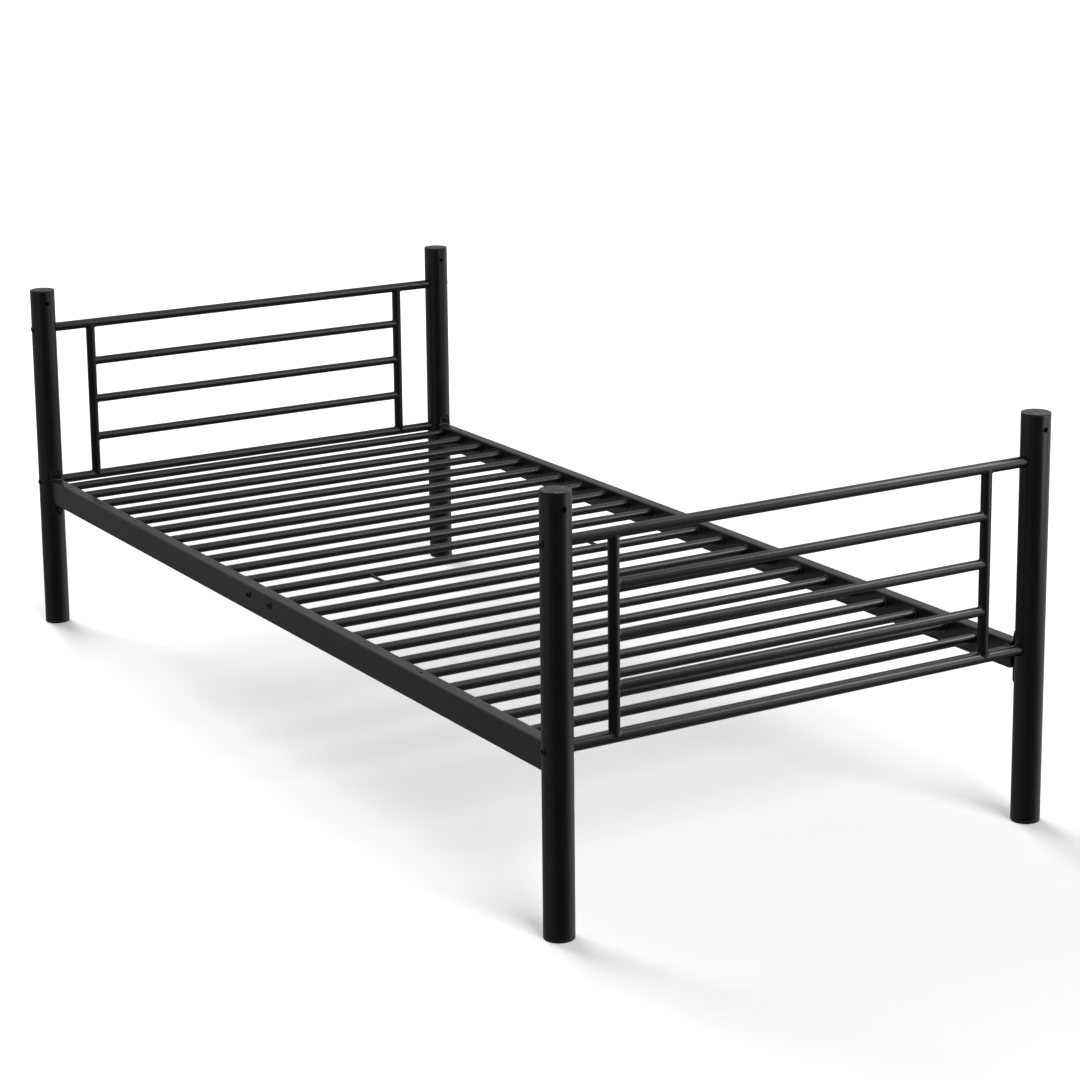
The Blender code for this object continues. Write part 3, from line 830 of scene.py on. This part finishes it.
def add_sky():
    """Surroundings brighter overhead and to the right, and dim beyond the foot end.

    Where the camera looks straight at them they are plain white.
    """
    world = bpy.data.worlds.new("studio")
    bpy.context.scene.world = world
    world.use_nodes = True
    tree = world.node_tree
    background = tree.nodes["Background"]
    background.inputs["Color"].default_value = (1.0, 1.0, 1.0, 1.0)
    direction = tree.nodes.new("ShaderNodeTexCoord").outputs["Generated"]
    low = add_towards(tree, direction, (0, 0, 1), -0.3, 0.2, 0.20, 0.48)
    high = add_towards(tree, direction, (0, 0, 1), 0.2, 1.0, 0.0, 0.20)
    right = add_towards(tree, direction, (0.17, 0.98, 0), 0.60, 0.96, 0.0, 0.50)
    dim = add_towards(tree, direction, (0.95, -0.31, 0), 0.2, 0.9, 1.0, 0.28)
    bright = add_math(tree, "ADD", add_math(tree, "ADD", low, high), right)
    glow = add_math(tree, "MULTIPLY", bright, dim)
    seen = tree.nodes.new("ShaderNodeLightPath").outputs["Is Camera Ray"]
    tree.links.new(add_math(tree, "MAXIMUM", glow, add_math(tree, "MULTIPLY", seen, 1.1)),
                   background.inputs["Strength"])


FLOOR_LIGHT_POWER = 7.7
FLOOR_LIGHT_SPREAD = math.radians(40)
FLOOR_LIGHT_LEAN = math.radians(64)      # from straight overhead


def add_floor_light(floor):
    """Very soft light from both ends that falls on the floor only, with the bed in its way."""
    only_floor = bpy.data.collections.new("lit_by_floor_light")
    only_floor.objects.link(floor)
    for name, lean in (("floor_light_head", -1), ("floor_light_foot", 1)):
        light = bpy.data.lights.new(name, "SUN")
        light.energy = FLOOR_LIGHT_POWER
        light.angle = FLOOR_LIGHT_SPREAD
        lamp = bpy.data.objects.new(name, light)
        lamp.rotation_euler = (0, FLOOR_LIGHT_LEAN * lean, 0)
        bpy.context.scene.collection.objects.link(lamp)
        lamp.light_linking.receiver_collection = only_floor


# name: place, aim, width, height, power
SOFT_BOXES = {
    "soft_box_overhead": ((0.2, 1.7, 3.2), (0, 0, 0.3), 4.0, 3.0, 13.0),
    "soft_box_right": ((1.52, 1.53, 1.90), (1.0, 0.3, 0.5), 1.0, 1.0, 20.0),
    "soft_box_foot": ((2.2, 1.3, 0.65), (0, 0, 0.3), 0.8, 1.1, 5.0),
    "soft_box_left": ((0.66, -3.4, 1.2), (0, -0.4, 0.4), 0.7, 2.4, 4.0),
}


def all_but(floor):
    """Light-linking collection that leaves the floor out."""
    collection = bpy.data.collections.new("lit_by_soft_boxes")
    collection.objects.link(floor)
    collection.collection_objects[0].light_linking.link_state = "EXCLUDE"
    return collection


def add_soft_box(name, receivers, place, aim, width, height, power):
    """Panel light, for the sheen along the tubes."""
    light = bpy.data.lights.new(name, "AREA")
    light.shape = "RECTANGLE"
    light.size = width
    light.size_y = height
    light.energy = power
    lamp = bpy.data.objects.new(name, light)
    lamp.location = place
    lamp.rotation_euler = (Vector(aim) - Vector(place)).to_track_quat("-Z", "Y").to_euler()
    lamp.visible_camera = False
    bpy.context.scene.collection.objects.link(lamp)
    lamp.light_linking.receiver_collection = receivers


# ---------------------------------------------------------------- camera
CAMERA_PLACE = Vector((4.639, -2.703, 1.803))
CAMERA_AIM = Vector((-1.163, 0.833, 0.300))
CAMERA_ROLL = math.radians(-0.59)
CAMERA_LENS = 96.4           # on a 36 mm wide sensor
CAMERA_SHIFT_Y = -0.13


def add_camera():
    data = bpy.data.cameras.new("camera")
    data.sensor_width = 36.0
    data.lens = CAMERA_LENS
    data.shift_y = CAMERA_SHIFT_Y
    data.clip_end = 200.0
    camera = bpy.data.objects.new("camera", data)
    bpy.context.scene.collection.objects.link(camera)
    looking = (CAMERA_AIM - CAMERA_PLACE).to_track_quat("-Z", "Y").to_matrix().to_4x4()
    camera.matrix_world = at(CAMERA_PLACE, looking @ Matrix.Rotation(CAMERA_ROLL, 4, "Z"))
    bpy.context.scene.camera = camera


# ---------------------------------------------------------------- build
for end_name in ENDS:
    for side_name in SIDES:
        add_post(end_name, side_name)
        add_post_cap(end_name, side_name)
        add_foot_glide(end_name, side_name)
        add_half_rail(end_name, side_name)
    add_end_panel(end_name)

for slat_number in range(1, 25):
    add_slat(slat_number)
for side_name in SIDES:
    add_slat_tie(side_name)
    sleeve_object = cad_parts[f"rail_sleeve_{side_name}"]
    sleeve_object.data.materials[0] = ZINC
add_bolts()

add_sky()
floor_object = add_floor()
add_floor_light(floor_object)
not_floor = all_but(floor_object)
for box_name, (place, aim, width, height, power) in SOFT_BOXES.items():
    add_soft_box(box_name, not_floor, place, aim, width, height, power)
add_camera()
bpy.context.scene.view_settings.view_transform = "Standard"
